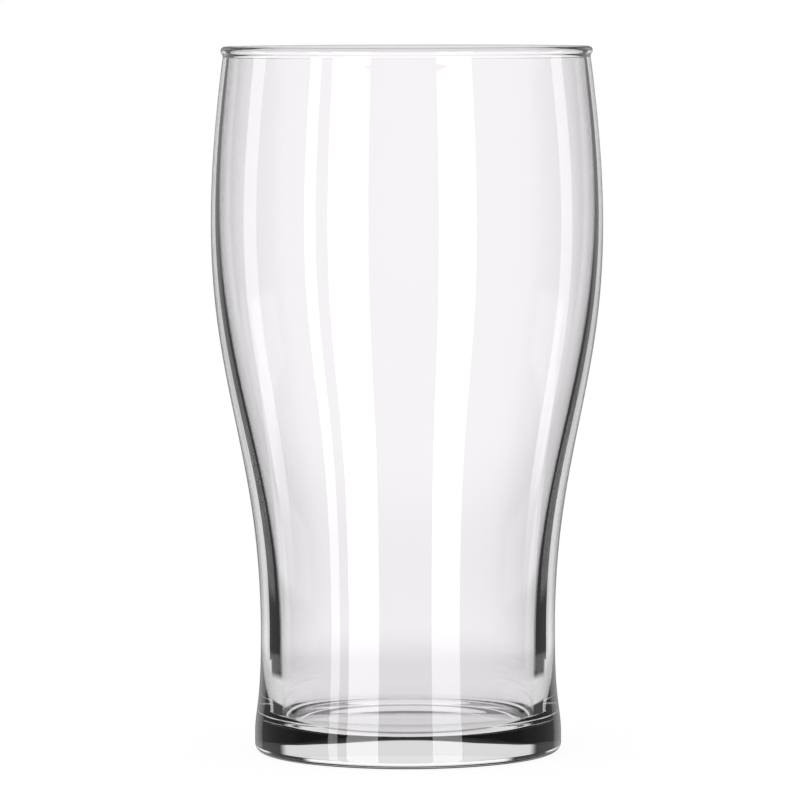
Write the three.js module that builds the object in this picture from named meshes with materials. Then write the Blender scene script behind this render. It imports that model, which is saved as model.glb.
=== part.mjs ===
import * as THREE from 'three';

// A stemless tulip pint glass, blown and pressed in one piece.
// Sizes are in millimetres. The glass stands on z = 0 and its axis is the Z axis.

// Overall height, from the table to the top of the rim.
const GLASS_HEIGHT = 153.4;

// Foot: the rounded heel, the short upright side above it, the flat bearing ring that
// touches the table, and the rise of the shallow dome inside that ring.
const HEEL_RADIUS = 33.4;
const HEEL_ROUND = 1.9;
const HEEL_UPRIGHT = 2.3;
const RING_WIDTH = 3;
const UNDERSIDE_RISE = 1.2;

// Outside of the wall at its narrowest and at its widest.
const WAIST_RADIUS = 32.05;
const WAIST_HEIGHT = 26.1;
const BELLY_RADIUS = 42.55;
const BELLY_HEIGHT = 114.7;

// Rim: a fire-polished bead that stands a little proud of the neck below it.
const RIM_RADIUS = 40.3;
const BEAD_ROUND = 0.95;
const BEAD_UNDERCUT_ANGLE = 40;
const NECK_SET_BACK = 0.43;
const NECK_BELOW_RIM = 2.5;

// Inside: the wall's thickness, how far the inner belly and waist lie from the outer ones,
// the thickness of the floor above the table, and the corner round the floor.
const BELLY_WALL = 1.76;
const WAIST_WALL = 4.05;
const INNER_BELLY_LIFT = 2.7;
const INNER_WAIST_DROP = 2.2;
const FLOOR_HEIGHT = 6;
const CORNER_ROUND = 3.2;

// Reach of the curves' handles, which sets how long a curve keeps the direction of its end.
const FOOT_REACH = { lower: 5, upper: 16 };
const FLARE_REACH = { lower: 38.7, upper: 35.7 };
const SHOULDER_REACH = { lower: 12, upper: 12 };
const MOUTH_REACH = { lower: 13, upper: 13 };
const INNER_FLARE_REACH = { lower: 38, upper: 36 };

// Lean of the wall at the neck, as inward travel for each millimetre of rise.
const NECK_LEAN = 0.13;
const MOUTH_LEAN = 0.1;

// How finely the outline and the turn are divided.
const TURN_STEPS = 64;
const UNDERSIDE_STEPS = 4;
const HEEL_STEPS = 5;
const FOOT_STEPS = 4;
const FLARE_STEPS = 11;
const SHOULDER_STEPS = 5;
const BEAD_STEPS = 4;
const CORNER_STEPS = 5;

const QUARTER_TURN = Math.PI / 2;
const SAME_PLACE = 1e-6;

function place(radius, height) {
  return new THREE.Vector2(radius, height);
}

// A place that lies a reach above another, and leans in as it rises.
function above(start, reach, lean = 0) {
  return place(start.x - lean * reach, start.y + reach);
}

// The places of the outline where one stretch meets the next.
const ringOuter = place(HEEL_RADIUS - HEEL_ROUND, 0);
const ringInner = place(ringOuter.x - RING_WIDTH, 0);
const heelCentre = above(ringOuter, HEEL_ROUND);
const footTop = place(HEEL_RADIUS, HEEL_ROUND + HEEL_UPRIGHT);
const waist = place(WAIST_RADIUS, WAIST_HEIGHT);
const belly = place(BELLY_RADIUS, BELLY_HEIGHT);
const neck = place(RIM_RADIUS - NECK_SET_BACK, GLASS_HEIGHT - NECK_BELOW_RIM);
const beadCentre = place(RIM_RADIUS - BEAD_ROUND, GLASS_HEIGHT - BEAD_ROUND);
const innerMouth = place(beadCentre.x - BEAD_ROUND, beadCentre.y);
const innerBelly = place(BELLY_RADIUS - BELLY_WALL, BELLY_HEIGHT + INNER_BELLY_LIFT);
const innerWaist = place(WAIST_RADIUS - WAIST_WALL, WAIST_HEIGHT - INNER_WAIST_DROP);
const cornerCentre = place(innerWaist.x - CORNER_ROUND, FLOOR_HEIGHT + CORNER_ROUND);
const floorCentre = place(0, FLOOR_HEIGHT);

// Points of a round stretch, from one angle to another about a centre.
function roundPoints(centre, radius, startAngle, endAngle, steps) {
  const clockwise = endAngle < startAngle;
  const arc = new THREE.EllipseCurve(
    centre.x, centre.y, radius, radius, startAngle, endAngle, clockwise, 0);
  return arc.getPoints(steps);
}

// Points of a smooth stretch that rises from one place to another. The reach and the lean
// give its two handles.
function risingPoints(start, end, reach, endLean, steps) {
  const startHandle = above(start, reach.lower);
  const endHandle = above(end, -reach.upper, endLean);
  return new THREE.CubicBezierCurve(start, startHandle, endHandle, end).getPoints(steps);
}

// The underside rises in a shallow dome inside the bearing ring.
function undersidePoints() {
  const chord = ringInner.x;
  const domeRadius = (chord * chord + UNDERSIDE_RISE * UNDERSIDE_RISE) / (2 * UNDERSIDE_RISE);
  const centre = place(0, UNDERSIDE_RISE - domeRadius);
  const edgeAngle = Math.acos(chord / domeRadius);
  const dome = roundPoints(centre, domeRadius, QUARTER_TURN, edgeAngle, UNDERSIDE_STEPS);
  dome[0].x = 0;
  dome[UNDERSIDE_STEPS].copy(ringInner);
  return dome;
}

// The heel turns from the bearing ring up into the upright side of the foot.
function heelPoints() {
  return roundPoints(heelCentre, HEEL_ROUND, -QUARTER_TURN, 0, HEEL_STEPS);
}

// The bead runs from its undercut outside to its top, and down to the inner wall.
function beadPoints() {
  const undercut = -THREE.MathUtils.degToRad(BEAD_UNDERCUT_ANGLE);
  return [
    ...roundPoints(beadCentre, BEAD_ROUND, undercut, QUARTER_TURN, BEAD_STEPS),
    ...roundPoints(beadCentre, BEAD_ROUND, QUARTER_TURN, 2 * QUARTER_TURN, BEAD_STEPS),
  ];
}

// The inner wall, from its waist up to the bead. The caller turns it round to run down.
function innerWallPoints() {
  return [
    ...risingPoints(innerWaist, innerBelly, INNER_FLARE_REACH, 0, FLARE_STEPS),
    ...risingPoints(innerBelly, innerMouth, MOUTH_REACH, MOUTH_LEAN, SHOULDER_STEPS),
  ];
}

// The corner turns from the inner wall into the flat floor.
function cornerPoints() {
  return roundPoints(cornerCentre, CORNER_ROUND, 0, -QUARTER_TURN, CORNER_STEPS);
}

// Leaves out each point that repeats the one before it, where two stretches meet.
function withoutRepeats(points) {
  return points.filter(
    (here, index) => index === 0 || here.distanceTo(points[index - 1]) > SAME_PLACE);
}

// The whole outline, from the axis below, round the outside, and back to the axis inside.
function glassOutline() {
  return withoutRepeats([
    ...undersidePoints(),
    ...heelPoints(),
    ...risingPoints(footTop, waist, FOOT_REACH, 0, FOOT_STEPS),
    ...risingPoints(waist, belly, FLARE_REACH, 0, FLARE_STEPS),
    ...risingPoints(belly, neck, SHOULDER_REACH, NECK_LEAN, SHOULDER_STEPS),
    ...beadPoints(),
    ...innerWallPoints().reverse(),
    ...cornerPoints(),
    floorCentre,
  ]);
}

// Clear glass with no colour of its own.
function clearGlass() {
  return new THREE.MeshStandardMaterial({
    color: 0xe8eaea,
    roughness: 0.03,
    metalness: 0,
    transparent: true,
    opacity: 0.35,
  });
}

// The glass is one body: its outline turned about the axis, then stood up along Z.
function glassBody() {
  const geometry = new THREE.LatheGeometry(glassOutline(), TURN_STEPS);
  geometry.rotateX(QUARTER_TURN);
  const mesh = new THREE.Mesh(geometry, clearGlass());
  mesh.name = 'glass_body';
  return mesh;
}

const pubGlass = new THREE.Group();
pubGlass.add(glassBody());

export default pubGlass;
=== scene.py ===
"""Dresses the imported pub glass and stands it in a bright-field studio.

The glass is one body of revolution. Its outline is drawn in the plane y = 0, from the axis
below, round the outside and over the rim, to the axis inside, and is then spun about Z.
Lengths are in metres and angles in degrees unless a name says otherwise. A bearing is an
angle round the Z axis, counted from +Y, which is straight behind the glass, towards +X.
"""

import logging
import math
from dataclasses import dataclass, field
from enum import Enum

import bmesh
import bpy
from mathutils import Matrix, Vector
from mathutils.geometry import interpolate_bezier


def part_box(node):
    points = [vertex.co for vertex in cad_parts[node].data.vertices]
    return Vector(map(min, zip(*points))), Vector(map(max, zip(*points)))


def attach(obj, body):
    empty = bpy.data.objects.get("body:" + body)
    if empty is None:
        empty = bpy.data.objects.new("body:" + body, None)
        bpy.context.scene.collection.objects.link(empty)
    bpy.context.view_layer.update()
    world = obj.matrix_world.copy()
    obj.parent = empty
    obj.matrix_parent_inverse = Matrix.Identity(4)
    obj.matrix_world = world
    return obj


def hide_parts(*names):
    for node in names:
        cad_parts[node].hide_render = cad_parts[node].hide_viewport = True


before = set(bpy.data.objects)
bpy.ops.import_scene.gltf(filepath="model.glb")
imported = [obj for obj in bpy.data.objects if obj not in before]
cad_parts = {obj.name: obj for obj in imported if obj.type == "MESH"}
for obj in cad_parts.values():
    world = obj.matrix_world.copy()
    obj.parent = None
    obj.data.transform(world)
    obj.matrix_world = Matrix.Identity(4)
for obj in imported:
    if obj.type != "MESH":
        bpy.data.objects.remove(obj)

LOG = logging.getLogger("pub_glass")
GLASS_NODE = "glass_body"
MM = 0.001
MERGE_DISTANCE = 1e-7
WHITE = (1.0, 1.0, 1.0, 1.0)

# Light that has been reflected more often than this has turned inside the glass.
FIRST_TURN = 0.5

Outline = list[Vector]
Pair = tuple[float, float]
Socket = bpy.types.NodeSocket


class Side(Enum):
    """The side that one of a pair stands on, as the sign of its X."""

    RIGHT = 1.0
    LEFT = -1.0


class Ray(Enum):
    """A kind of light that can pass a piece of the studio by."""

    CAMERA = "visible_camera"
    DIFFUSE = "visible_diffuse"
    GLOSSY = "visible_glossy"
    TRANSMISSION = "visible_transmission"
    SHADOW = "visible_shadow"


def at(radius: float, height: float) -> Vector:
    """A point of an outline, from its distance to the axis and its height."""
    return Vector((radius, 0.0, height))


def on_bearing(distance: float, bearing: float, height: float) -> Vector:
    """A point at a distance from the axis, on a bearing in degrees, at a height."""
    angle = math.radians(bearing)
    return Vector((distance * math.sin(angle), distance * math.cos(angle), height))


def arc(centre: Vector, radius: float, start: float, end: float, steps: int) -> Outline:
    """Points of a round stretch of an outline.

    Args:
        centre: Centre of the arc, in the outline's plane.
        radius: Radius of the arc.
        start: Angle of its first point, in degrees up from the outward direction.
        end: Angle of its last point.
        steps: Number of straight steps.

    Returns:
        The arc's points, in order.
    """
    turns = (math.radians(start + (end - start) * step / steps) for step in range(steps + 1))
    return [centre + radius * at(math.cos(turn), math.sin(turn)) for turn in turns]


def curve(start: Vector, leave: Vector, arrive: Vector, end: Vector, steps: int) -> Outline:
    """Points of a smooth stretch of an outline.

    Args:
        start: First point.
        leave: Handle's offset from the first point.
        arrive: Handle's offset from the last point.
        end: Last point.
        steps: Number of straight steps.

    Returns:
        The stretch's points, in order.
    """
    return list(interpolate_bezier(start, start + leave, end + arrive, end, steps + 1))


def stage_piece(name: str, shape: bmesh.types.BMesh,
                material: bpy.types.Material) -> bpy.types.Object:
    """Makes a piece of the studio.

    Args:
        name: Name of the piece.
        shape: Its shape, which is freed here.
        material: Its finish.

    Returns:
        The piece.
    """
    mesh = bpy.data.meshes.new(name)
    shape.to_mesh(mesh)
    shape.free()
    piece = bpy.data.objects.new(name, mesh)
    bpy.context.collection.objects.link(piece)
    piece.data.materials.append(material)
    return piece


def hide_from(piece: bpy.types.Object, *rays: Ray) -> None:
    """Lets some kinds of light pass a piece by."""
    for ray in rays:
        setattr(piece, ray.value, False)


class ShaderGraph:
    """A small helper that places shader nodes and joins them."""

    def __init__(self, tree: bpy.types.NodeTree) -> None:
        """Starts from a tree and empties it."""
        self.tree = tree
        tree.nodes.clear()

    def node(self, kind: str, **settings: object) -> bpy.types.Node:
        """Places a node.

        Args:
            kind: The node's type, without its ShaderNode prefix.
            settings: Properties to set on it.

        Returns:
            The new node.
        """
        made = self.tree.nodes.new(f"ShaderNode{kind}")
        for name, value in settings.items():
            setattr(made, name, value)
        return made

    def feed(self, socket: Socket, value: object) -> None:
        """Joins an output socket to an input, or writes a plain value on it."""
        if isinstance(value, Socket):
            self.tree.links.new(value, socket)
        else:
            socket.default_value = value

    def end(self, kind: str, result: Socket) -> None:
        """Gives the tree its output, which is a material's or a world's."""
        self.feed(self.node(kind).inputs["Surface"], result)

    def math(self, operation: str, *values: object) -> Socket:
        """Places a Math node on values or sockets, and returns its result."""
        made = self.node("Math", operation=operation)
        for socket, value in zip(made.inputs, values):
            self.feed(socket, value)
        return made.outputs[0]

    def ramp(self, value: object, start: float, end: float,
             low: object = 0.0, high: object = 1.0) -> Socket:
        """Maps a value smoothly from one range to another.

        Args:
            value: The value or socket to map.
            start: Where the result is low.
            end: Where the result is high.
            low: Result at the start and before it.
            high: Result at the end and past it.

        Returns:
            The mapped value's socket.
        """
        made = self.node("MapRange", interpolation_type="SMOOTHSTEP")
        for socket, given in zip(made.inputs, (value, start, end, low, high)):
            self.feed(socket, given)
        return made.outputs[0]

    def pick(self, share: object, first: object, second: object) -> Socket:
        """Mixes two plain numbers, from the first at 0 to the second at 1."""
        made = self.node("Mix", data_type="FLOAT")
        for socket, given in zip(made.inputs[:1] + made.inputs[2:4], (share, first, second)):
            self.feed(socket, given)
        return made.outputs[0]

    def blend(self, share: object, first: Socket, second: Socket) -> Socket:
        """Mixes two shaders, from the first at 0 to the second at 1."""
        made = self.node("MixShader")
        for socket, given in zip(made.inputs, (share, first, second)):
            self.feed(socket, given)
        return made.outputs[0]

    def height(self) -> Socket:
        """The height of a place on a piece."""
        parts = self.node("SeparateXYZ")
        self.feed(parts.inputs[0], self.node("TexCoord").outputs["Object"])
        return parts.outputs["Z"]

    def turned_past(self, turns: float) -> Socket:
        """Is 1 for light that has been reflected more often than this, and 0 for other."""
        return self.math("GREATER_THAN", self.node("LightPath").outputs["Glossy Depth"], turns)


@dataclass(frozen=True)
class ClearGlassFinish:
    """Fire-polished soda-lime glass, finely stippled where it stands on its ring."""

    tint: tuple[float, float, float] = (0.998, 0.984, 0.998)
    refraction: float = 1.517
    roughness: float = 0.0
    stipple_below: Pair = (0.03 * MM, 0.12 * MM)
    stipple_scale: float = 2400.0
    stipple_depth: float = 0.02 * MM

    def stipple(self, graph: ShaderGraph) -> Socket:
        """Places the ring's stipple, and returns its normal."""
        grain = graph.node("TexNoise")
        graph.feed(grain.inputs["Vector"], graph.node("TexCoord").outputs["Object"])
        graph.feed(grain.inputs["Scale"], self.stipple_scale)
        graph.feed(grain.inputs["Detail"], 0.0)
        near_ring = graph.ramp(graph.height(), *self.stipple_below, 1.0, 0.0)
        bump = graph.node("Bump")
        graph.feed(bump.inputs["Distance"], self.stipple_depth)
        graph.feed(bump.inputs["Height"], graph.math("MULTIPLY", grain.outputs[0], near_ring))
        return bump.outputs[0]

    def material(self) -> bpy.types.Material:
        """Builds the glass material."""
        made = bpy.data.materials.new("Clear glass")
        made.use_nodes = True
        graph = ShaderGraph(made.node_tree)
        shader = graph.node("BsdfPrincipled")
        graph.feed(shader.inputs["Base Color"], (*self.tint, 1.0))
        graph.feed(shader.inputs["Metallic"], 0.0)
        graph.feed(shader.inputs["Roughness"], self.roughness)
        graph.feed(shader.inputs["IOR"], self.refraction)
        graph.feed(shader.inputs["Transmission Weight"], 1.0)
        graph.feed(shader.inputs["Normal"], self.stipple(graph))
        graph.end("OutputMaterial", shader.outputs[0])
        return made


@dataclass(frozen=True)
class FloorFinish:
    """A white floor that keeps the glass's shadow and is as white as the backdrop."""

    white: float = 0.92
    shadow_share: float = 0.12
    glow: float = 1.03

    def material(self) -> bpy.types.Material:
        """Builds the floor material."""
        made = bpy.data.materials.new("White floor")
        made.use_nodes = True
        graph = ShaderGraph(made.node_tree)
        lit = graph.node("BsdfDiffuse")
        graph.feed(lit.inputs["Color"], (self.white, self.white, self.white, 1.0))
        glow = graph.node("Emission")
        graph.feed(glow.inputs["Strength"], self.glow)
        seen = graph.node("LightPath").outputs["Is Camera Ray"]
        glow_share = graph.math("MULTIPLY", seen, 1.0 - self.shadow_share)
        graph.end("OutputMaterial", graph.blend(glow_share, lit.outputs[0], glow.outputs[0]))
        return made


@dataclass(frozen=True)
class CardFinish:
    """Plain card of one even grey.

    It may thin out towards its upper edge, and may be there only for light that has
    turned inside the glass, which keeps it out of a plain look through the bowl.
    """

    name: str
    level: float
    thins_over: Pair | None = None
    turned_only: bool = False

    def material(self) -> bpy.types.Material:
        """Builds the card material."""
        made = bpy.data.materials.new(self.name)
        made.use_nodes = True
        graph = ShaderGraph(made.node_tree)
        glow = graph.node("Emission")
        graph.feed(glow.inputs["Strength"], self.level)
        shown = glow.outputs[0]
        clear = graph.node("BsdfTransparent").outputs[0]
        if self.thins_over:
            shown = graph.blend(graph.ramp(graph.height(), *self.thins_over), shown, clear)
        if self.turned_only:
            shown = graph.blend(graph.turned_past(FIRST_TURN), clear, shown)
        graph.end("OutputMaterial", shown)
        return made


@dataclass(frozen=True)
class OutlineSteps:
    """How finely each stretch of the outline, and the turn, are divided."""

    turn: int = 256
    underside: int = 16
    ring: int = 5
    heel: int = 14
    foot: int = 12
    flare: int = 48
    shoulder: int = 26
    undercut: int = 5
    bead: int = 26
    corner: int = 14
    floor: int = 10


@dataclass
class GlassBody:
    """The whole glass: foot, wall and beaded rim in one body."""

    height: float
    belly_radius: float
    finish: ClearGlassFinish = field(default_factory=ClearGlassFinish)
    steps: OutlineSteps = field(default_factory=OutlineSteps)

    heel_radius: float = 33.4 * MM
    heel_round: float = 1.9 * MM
    heel_upright: float = 2.3 * MM
    ring_width: float = 3 * MM
    underside_rise: float = 1.2 * MM

    waist_radius: float = 32.05 * MM
    waist_height: float = 26.1 * MM
    belly_height: float = 114.7 * MM

    rim_radius: float = 40.3 * MM
    bead_round: float = 0.95 * MM
    bead_undercut: float = 40.0
    neck_set_back: float = 0.43 * MM
    neck_below_rim: float = 2.5 * MM
    undercut_reach: float = 0.4 * MM

    belly_wall: float = 1.76 * MM
    waist_wall: float = 4.05 * MM
    inner_belly_lift: float = 2.7 * MM
    inner_waist_drop: float = 2.2 * MM
    floor_height: float = 6 * MM
    corner_round: float = 3.2 * MM

    foot_reach: Pair = (5 * MM, 16 * MM)
    flare_reach: Pair = (38.7 * MM, 35.7 * MM)
    shoulder_reach: Pair = (12 * MM, 12 * MM)
    mouth_reach: Pair = (13 * MM, 13 * MM)
    inner_flare_reach: Pair = (38 * MM, 36 * MM)
    neck_lean: float = 0.13
    mouth_lean: float = 0.1

    def __post_init__(self) -> None:
        """Works out where the stretches of the outline meet."""
        self.ring_outer = at(self.heel_radius - self.heel_round, 0.0)
        self.ring_inner = at(self.ring_outer.x - self.ring_width, 0.0)
        self.foot_top = at(self.heel_radius, self.heel_round + self.heel_upright)
        self.waist = at(self.waist_radius, self.waist_height)
        self.belly = at(self.belly_radius, self.belly_height)
        self.neck = at(self.rim_radius - self.neck_set_back, self.height - self.neck_below_rim)
        self.bead_centre = at(self.rim_radius - self.bead_round, self.height - self.bead_round)
        self.inner_mouth = at(self.bead_centre.x - self.bead_round, self.bead_centre.z)
        self.inner_belly = at(self.belly_radius - self.belly_wall,
                              self.belly_height + self.inner_belly_lift)
        self.inner_waist = at(self.waist_radius - self.waist_wall,
                              self.waist_height - self.inner_waist_drop)
        self.corner_centre = at(self.inner_waist.x - self.corner_round,
                                self.floor_height + self.corner_round)

    def rise(self, start: Vector, end: Vector, reach: Pair, steps: int,
             end_lean: float = 0.0) -> Outline:
        """A smooth stretch that rises upright from one place to another.

        Args:
            start: Where it starts.
            end: Where it ends.
            reach: Reach of its lower and its upper handle.
            steps: Number of straight steps.
            end_lean: Inward travel for each metre of rise at its end.

        Returns:
            The stretch's points, from the lower end up.
        """
        lower, upper = reach
        return curve(start, at(0.0, lower), at(end_lean * upper, -upper), end, steps)

    def underside(self) -> Outline:
        """The shallow dome, from the axis to the bearing ring, and the ring itself."""
        chord, rise = self.ring_inner.x, self.underside_rise
        radius = (chord ** 2 + rise ** 2) / (2 * rise)
        edge = math.degrees(math.acos(chord / radius))
        dome = arc(at(0.0, rise - radius), radius, 90.0, edge, self.steps.underside)
        dome[0].x = 0.0
        dome[-1] = self.ring_inner.copy()
        ring = [self.ring_inner.lerp(self.ring_outer, step / self.steps.ring)
                for step in range(self.steps.ring + 1)]
        return dome + ring

    def outside(self) -> Outline:
        """The heel, the foot, the flare up to the belly, and the shoulder to the neck."""
        heel_centre = self.ring_outer + at(0.0, self.heel_round)
        return [
            *arc(heel_centre, self.heel_round, -90.0, 0.0, self.steps.heel),
            *self.rise(self.foot_top, self.waist, self.foot_reach, self.steps.foot),
            *self.rise(self.waist, self.belly, self.flare_reach, self.steps.flare),
            *self.rise(self.belly, self.neck, self.shoulder_reach, self.steps.shoulder,
                       self.neck_lean),
        ]

    def bead(self) -> Outline:
        """The rim's bead, from its undercut over the top to the inside of the mouth."""
        turned = arc(self.bead_centre, self.bead_round, -self.bead_undercut, 180.0,
                     self.steps.bead)
        lean = math.radians(self.bead_undercut)
        undercut = curve(self.neck, self.undercut_reach * at(-self.neck_lean, 1.0),
                         -self.undercut_reach * at(math.sin(lean), math.cos(lean)),
                         turned[0], self.steps.undercut)
        return undercut + turned

    def inside(self) -> Outline:
        """The inner wall down from the mouth, the corner, and the flat floor."""
        wall = [
            *self.rise(self.inner_waist, self.inner_belly, self.inner_flare_reach,
                       self.steps.flare),
            *self.rise(self.inner_belly, self.inner_mouth, self.mouth_reach,
                       self.steps.shoulder, self.mouth_lean),
        ]
        corner = arc(self.corner_centre, self.corner_round, 0.0, -90.0, self.steps.corner)
        floor = [corner[-1].lerp(at(0.0, self.floor_height), step / self.steps.floor)
                 for step in range(1, self.steps.floor + 1)]
        return wall[::-1] + corner + floor

    def outline(self) -> Outline:
        """The whole outline, without the points that repeat where stretches meet."""
        points = self.underside() + self.outside() + self.bead() + self.inside()
        kept = points[:1]
        for point in points[1:]:
            if (point - kept[-1]).length > MERGE_DISTANCE:
                kept.append(point)
        return kept

    def mesh(self) -> bpy.types.Mesh:
        """Spins the outline into a closed mesh with smooth faces."""
        body = bmesh.new()
        rim = [body.verts.new(point) for point in self.outline()]
        edges = [body.edges.new(pair) for pair in zip(rim, rim[1:])]
        bmesh.ops.spin(body, geom=rim + edges, cent=(0.0, 0.0, 0.0), axis=(0.0, 0.0, 1.0),
                       angle=math.tau, steps=self.steps.turn, use_merge=True)
        bmesh.ops.remove_doubles(body, verts=body.verts, dist=MERGE_DISTANCE)
        bmesh.ops.recalc_face_normals(body, faces=body.faces)
        for face in body.faces:
            face.smooth = True
        made = bpy.data.meshes.new("pint_glass")
        body.to_mesh(made)
        body.free()
        return made

    def build(self) -> bpy.types.Object:
        """Makes the glass, dresses it and lets it stand for the CAD node."""
        piece = bpy.data.objects.new("pint_glass", self.mesh())
        bpy.context.collection.objects.link(piece)
        piece.data.materials.append(self.finish.material())
        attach(piece, "root")
        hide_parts(GLASS_NODE)
        return piece


@dataclass(frozen=True)
class FlagPair:
    """Two upright dark cards behind the glass, mirrored left and right of it.

    The corners are distances to the side and heights, on a plane square to the view.
    """

    name: str
    behind: float
    corners: tuple[Pair, ...]

    def build(self, material: bpy.types.Material) -> None:
        """Makes both cards, which are seen only through the glass.

        Args:
            material: The cards' finish.
        """
        for side in Side:
            card = bmesh.new()
            card.faces.new([card.verts.new((side.value * across, self.behind, height))
                            for across, height in self.corners])
            piece = stage_piece(f"{self.name}_{side.name.lower()}", card, material)
            hide_from(piece, Ray.CAMERA, Ray.DIFFUSE, Ray.GLOSSY, Ray.SHADOW)


@dataclass(frozen=True)
class LowCard:
    """A low card near the glass that hides a side lamp from the lower wall's mirror."""

    name: str
    bearings: Pair
    distance: float = 0.12
    bottom: float = -0.1
    top: float = 0.038
    steps: int = 12

    def build(self, material: bpy.types.Material) -> None:
        """Makes the card, curved about the axis of the glass.

        Args:
            material: The card's finish.
        """
        card = bmesh.new()
        start, end = self.bearings
        posts = []
        for step in range(self.steps + 1):
            bearing = start + (end - start) * step / self.steps
            posts.append([card.verts.new(on_bearing(self.distance, bearing, height))
                          for height in (self.bottom, self.top)])
        for (low, high), (next_low, next_high) in zip(posts, posts[1:]):
            card.faces.new((low, next_low, next_high, high))
        piece = stage_piece(self.name, card, material)
        hide_from(piece, Ray.CAMERA, Ray.DIFFUSE, Ray.TRANSMISSION, Ray.SHADOW)


@dataclass(frozen=True)
class Softbox:
    """A tall soft lamp that the glass mirrors as an upright strip."""

    name: str
    bearings: Pair
    radiance: float
    distance: float = 0.9
    bottom: float = -0.6
    top: float = 0.35

    def build(self) -> bpy.types.Object:
        """Makes the lamp, facing the axis of the glass."""
        left, right = (on_bearing(self.distance, bearing, 0.0) for bearing in self.bearings)
        lamp = bpy.data.lights.new(self.name, "AREA")
        lamp.shape = "RECTANGLE"
        lamp.size = (right - left).length
        lamp.size_y = self.top - self.bottom
        lamp.energy = self.radiance * math.pi * lamp.size * lamp.size_y
        piece = bpy.data.objects.new(self.name, lamp)
        bpy.context.collection.objects.link(piece)
        middle = (left + right) / 2
        piece.location = (middle.x, middle.y, (self.top + self.bottom) / 2)
        piece.rotation_euler = (-middle).to_track_quat("-Z", "Y").to_euler()
        hide_from(piece, Ray.CAMERA, Ray.TRANSMISSION)
        return piece


class RoomGraph(ShaderGraph):
    """A world's graph, which knows the direction of the light that it gives."""

    def __init__(self, tree: bpy.types.NodeTree) -> None:
        """Reads the light's bearing to either side, its elevation and its path."""
        super().__init__(tree)
        parts = self.node("SeparateXYZ")
        self.feed(parts.inputs[0], self.node("TexCoord").outputs["Generated"])
        across, ahead, up = parts.outputs
        self.bearing = self.math("ABSOLUTE", self.math("ARCTAN2", across, ahead))
        self.elevation = self.math("ARCSINE", up)
        self.path = self.node("LightPath").outputs

    def beside(self, edge: Pair, low: object = 0.0, high: object = 1.0) -> Socket:
        """Changes from low to high where the bearing crosses an edge in degrees."""
        start, end = map(math.radians, edge)
        return self.ramp(self.bearing, start, end, low, high)

    def above(self, edge: Pair, low: object = 0.0, high: object = 1.0) -> Socket:
        """Changes from low to high where the elevation crosses an edge in degrees."""
        start, end = map(math.radians, edge)
        return self.ramp(self.elevation, start, end, low, high)

    def product(self, *factors: object) -> Socket:
        """Multiplies levels or shares."""
        result, *rest = factors
        for factor in rest:
            result = self.math("MULTIPLY", result, factor)
        return result


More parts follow.
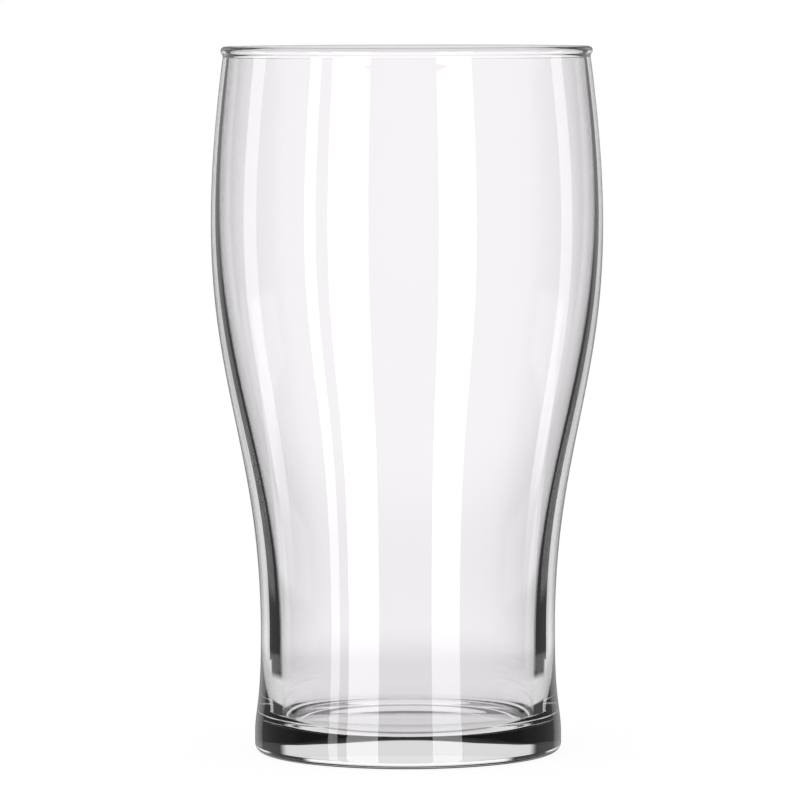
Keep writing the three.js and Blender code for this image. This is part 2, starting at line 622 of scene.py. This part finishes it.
@dataclass(frozen=True)
class Backdrop:
    """The room's light, set by its direction and by the way it takes to the eye.

    Straight light has come through the glass without a turn, turned light has been
    reflected inside it, late light more than late_turns times, and mirrored light comes
    off its surface. A pair holds the two angles that a level changes between: bearings
    to either side for an inner, outer or front edge and a middle, and elevations for all
    others.
    """

    floor_level: float = 1.05
    near_floor: Pair = (-10.0, -6.0)
    near_floor_level: float = 0.82
    steep_floor: Pair = (-50.0, -35.0)
    steep_floor_level: float = 0.85

    lid: Pair = (15.0, 35.0)
    lid_level: float = 0.35

    flag_level: float = 0.02
    flag_inner: Pair = (28.0, 33.0)
    flag_outer: Pair = (52.0, 60.0)
    flag_foot: Pair = (-14.0, -12.0)
    late_turns: float = 2.5
    late_flag_inner: Pair = (4.0, 8.0)
    high_flag_inner: Pair = (40.0, 46.0)

    foot_shadow_inner: Pair = (25.0, 29.0)
    foot_shadow_top: Pair = (-21.2, -20.2)
    foot_shadow_end: Pair = (-30.0, -27.0)
    foot_shadow_level: float = 0.05

    wall_foot: Pair = (-1.0, 1.0)
    wall_top: Pair = (9.0, 12.0)
    wall_level: float = 0.75
    top_lamp: Pair = (38.0, 50.0)
    top_lamp_level: float = 0.85

    front: Pair = (88.0, 94.0)
    front_level: float = 0.3

    panel_middle: Pair = (8.0, 20.0)
    panel_middle_level: float = 0.35
    panel_level: float = 0.6
    panel_outer: Pair = (33.0, 40.0)
    panel_top: Pair = (12.0, 25.0)
    mirrored_level: float = 0.2

    plain_level: float = 0.9
    seen_level: float = 1.0

    def floor(self, room: RoomGraph) -> Socket:
        """The floor's level, which falls off towards the foot of the glass."""
        return room.product(
            room.above(self.near_floor, self.near_floor_level, self.floor_level),
            room.above(self.steep_floor, self.steep_floor_level),
        )

    def straight(self, room: RoomGraph, floor: Socket) -> Socket:
        """The level of straight light: the floor and backdrop, a dim lid and the flags."""
        flag = room.product(room.beside(self.flag_inner), room.above(self.flag_foot),
                            room.beside(self.flag_outer, 1.0, 0.0))
        level = room.pick(room.above(self.lid), floor, self.lid_level)
        return room.pick(flag, level, self.flag_level)

    def turned_low(self, room: RoomGraph, floor: Socket) -> Socket:
        """The level of turned light from below: the floor, the foot's shadow and flags."""
        shadow = room.product(room.above(self.foot_shadow_top, 1.0, 0.0),
                              room.beside(self.foot_shadow_inner),
                              room.above(self.foot_shadow_end))
        level = room.pick(shadow, floor, self.foot_shadow_level)
        flag = room.pick(room.turned_past(self.late_turns), room.beside(self.flag_inner),
                         room.beside(self.late_flag_inner))
        flag = room.product(flag, room.above(self.flag_foot))
        return room.pick(flag, level, self.flag_level)

    def turned_high(self, room: RoomGraph) -> Socket:
        """The level of turned light from above: the wall, the top lamp and the flags."""
        top = room.above(self.top_lamp, self.flag_level, self.top_lamp_level)
        level = room.pick(room.above(self.wall_top), self.wall_level, top)
        return room.pick(room.beside(self.high_flag_inner), level, self.flag_level)

    def turned(self, room: RoomGraph, floor: Socket) -> Socket:
        """The level of turned light, which is dim from in front of the glass."""
        level = room.pick(room.above(self.wall_foot), self.turned_low(room, floor),
                          self.turned_high(room))
        return room.pick(room.beside(self.front), level, self.front_level)

    def mirrored(self, room: RoomGraph) -> Socket:
        """The level of mirrored light, which is brighter from behind the glass."""
        panel = room.beside(self.panel_middle, self.panel_middle_level, self.panel_level)
        behind = room.product(room.beside(self.panel_outer, 1.0, 0.0),
                              room.above(self.panel_top, 1.0, 0.0))
        return room.pick(behind, self.mirrored_level, panel)

    def build(self) -> None:
        """Makes the world and gives it to the scene."""
        world = bpy.data.worlds.new("Studio")
        world.use_nodes = True
        bpy.context.scene.world = world
        room = RoomGraph(world.node_tree)
        floor = self.floor(room)
        refracted = room.pick(room.turned_past(FIRST_TURN), self.straight(room, floor),
                              self.turned(room, floor))
        level = room.pick(room.path["Is Glossy Ray"], self.plain_level, self.mirrored(room))
        level = room.pick(room.path["Is Transmission Ray"], level, refracted)
        level = room.pick(room.path["Is Camera Ray"], level, self.seen_level)
        light = room.node("Background")
        room.feed(light.inputs["Color"], WHITE)
        room.feed(light.inputs["Strength"], level)
        room.end("OutputWorld", light.outputs[0])


@dataclass
class Studio:
    """The white floor and backdrop, the cards beside the glass and the soft lamps."""

    backdrop: Backdrop = Backdrop()
    floor_finish: FloorFinish = FloorFinish()
    floor_reach: float = 9.0
    floor_drop: float = 0.05 * MM
    floor_segments: int = 96
    flag_finish: CardFinish = CardFinish("Black card", 0.012, turned_only=True)
    flags: FlagPair = FlagPair("side_flag", 0.095,
                               ((0.082, 0.3), (0.3, 0.3), (0.3, 0.0), (0.082, 0.0)))
    low_card_finish: CardFinish = CardFinish("Grey card", 0.25, (10 * MM, 38 * MM))
    low_cards: tuple[LowCard, ...] = (
        LowCard("left_low_card", (262.0, 304.0)),
        LowCard("right_low_card", (54.0, 96.0)),
    )
    softboxes: tuple[Softbox, ...] = (
        Softbox("Left front softbox", (202.0, 226.0), 4.5),
        Softbox("Left front strip", (233.5, 241.0), 3.2),
        Softbox("Left side strip", (277.0, 289.0), 2.0),
        Softbox("Right front softbox", (140.0, 162.0), 4.0),
        Softbox("Right side strip", (69.0, 80.0), 2.0),
    )

    def build_floor(self) -> None:
        """Makes the floor, which is left out of what the glass shows."""
        disc = bmesh.new()
        bmesh.ops.create_circle(disc, cap_ends=True, segments=self.floor_segments,
                                radius=self.floor_reach,
                                matrix=Matrix.Translation((0.0, 0.0, -self.floor_drop)))
        floor = stage_piece("floor", disc, self.floor_finish.material())
        hide_from(floor, Ray.GLOSSY, Ray.TRANSMISSION)

    def build_cards(self) -> None:
        """Makes the black flags and the low grey cards."""
        self.flags.build(self.flag_finish.material())
        grey = self.low_card_finish.material()
        for card in self.low_cards:
            card.build(grey)

    def build(self) -> None:
        """Builds the floor, the backdrop, the cards and the lamps."""
        self.build_floor()
        self.backdrop.build()
        self.build_cards()
        for softbox in self.softboxes:
            softbox.build()
            LOG.info("lamp: %s", softbox.name)


@dataclass
class PhotoCamera:
    """The camera of the photograph: far off with a long lens, a little above the glass."""

    distance: float = 1.25
    height: float = 165.1 * MM
    side_step: float = -1.6 * MM
    aim_height: float = 76.6 * MM
    roll: float = -0.13
    lens_mm: float = 259.3
    sensor_mm: float = 36.0

    def build(self) -> bpy.types.Object:
        """Makes the camera and gives it to the scene."""
        lens = bpy.data.cameras.new("Camera")
        lens.lens = self.lens_mm
        lens.sensor_width = self.sensor_mm
        camera = bpy.data.objects.new("Camera", lens)
        bpy.context.collection.objects.link(camera)
        place = Vector((self.side_step, -self.distance, self.height))
        aim = Vector((self.side_step, 0.0, self.aim_height))
        turn = (aim - place).to_track_quat("-Z", "Y").to_matrix().to_4x4()
        roll = Matrix.Rotation(math.radians(self.roll), 4, "Z")
        camera.matrix_world = Matrix.Translation(place) @ turn @ roll
        bpy.context.scene.camera = camera
        return camera


def main() -> None:
    """Builds the glass, the studio and the camera."""
    logging.basicConfig(level=logging.INFO, format="%(message)s")
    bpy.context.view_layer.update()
    lowest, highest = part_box(GLASS_NODE)
    glass = GlassBody(height=highest.z - lowest.z, belly_radius=highest.x).build()
    LOG.info("piece: %s, %d faces", glass.name, len(glass.data.polygons))
    Studio().build()
    PhotoCamera().build()
    bpy.context.scene.view_settings.view_transform = "Standard"


if __name__ == "__main__":
    main()
